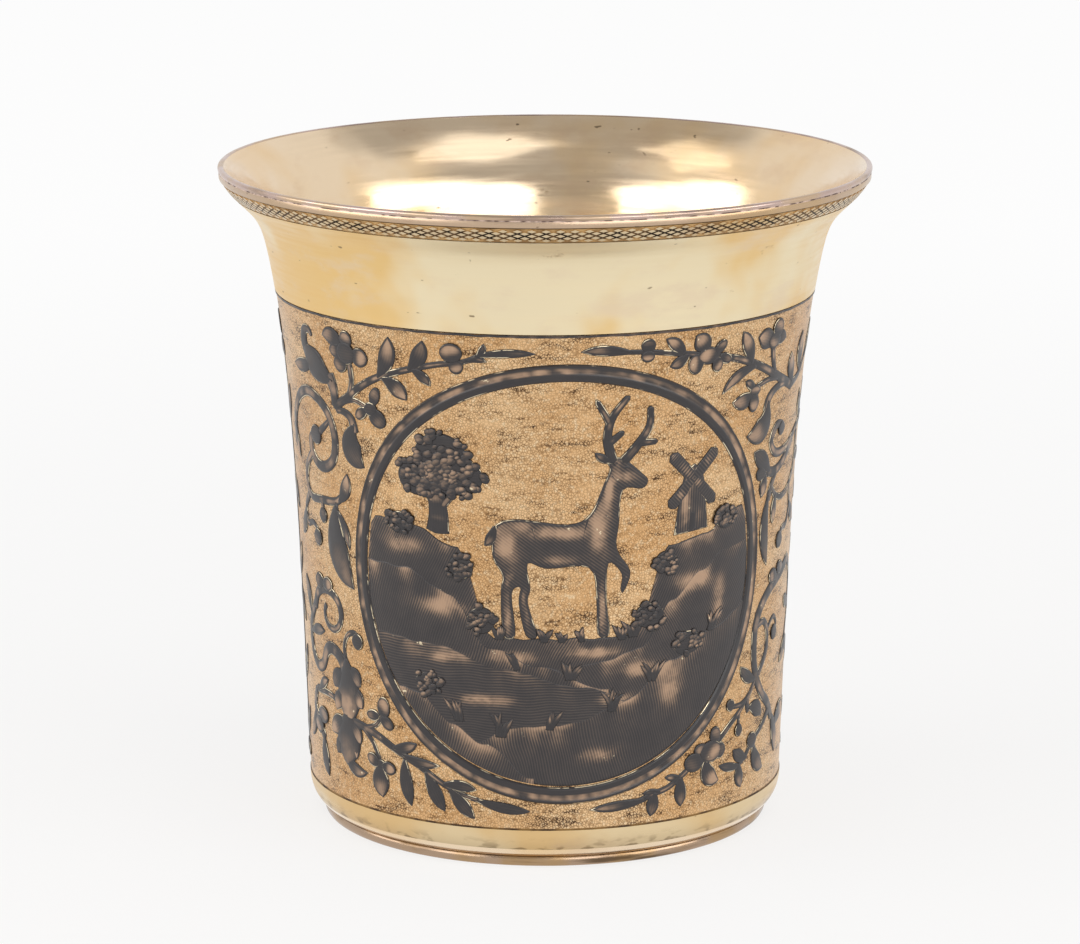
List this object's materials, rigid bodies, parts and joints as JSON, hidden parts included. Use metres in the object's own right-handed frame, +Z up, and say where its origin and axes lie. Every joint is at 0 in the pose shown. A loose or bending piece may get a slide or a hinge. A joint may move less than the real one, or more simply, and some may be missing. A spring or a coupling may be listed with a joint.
{
  "type": "silver-gilt niello beaker",
  "caption": "Slightly tapered silver-gilt drinking beaker with a flared milled rim, a foot ring and niello scrolls, sprays and oval medallions on a matted ground.",
  "frame": {"origin": "centre of the foot ring's underside, where the beaker stands", "axes": "+Z up the beaker's axis to the mouth, -Y out through the front medallion"},
  "size_m": [0.0778, 0.0778, 0.0791],
  "materials": {
    "gilt": "mercury-gilt silver, matted on the ornament's ground and burnished elsewhere",
    "pale_gilt": "rolled silver strip with worn gilding and dark hollows",
    "worn_silver": "silver wire with its gilding rubbed away",
    "niello": "niello, a dark sulphide fill, polished flush and worn brown"
  },
  "bodies": {
    "root": {"cup_wall": "gilt", "base_disc": "gilt", "foot_ring": "worn_silver", "rim_wire": "worn_silver", "milled_band": "pale_gilt", "upper_border_line": "niello", "front_frame": "niello", "front_land": "niello", "front_oak": "niello", "front_stag": "niello", "front_windmill": "niello", "back_frame": "niello", "back_land": "niello", "back_cottage": "niello", "back_firs": "niello", "left_front_upper_spray": "niello", "left_back_upper_spray": "niello", "left_front_middle_scroll": "niello", "left_back_middle_scroll": "niello", "left_front_lower_spray": "niello", "left_back_lower_spray": "niello", "right_front_upper_spray": "niello", "right_back_upper_spray": "niello", "right_front_middle_scroll": "niello", "right_back_middle_scroll": "niello", "right_front_lower_spray": "niello", "right_back_lower_spray": "niello", "left_stalk": "niello", "right_stalk": "niello"}
  },
  "joints": []
}
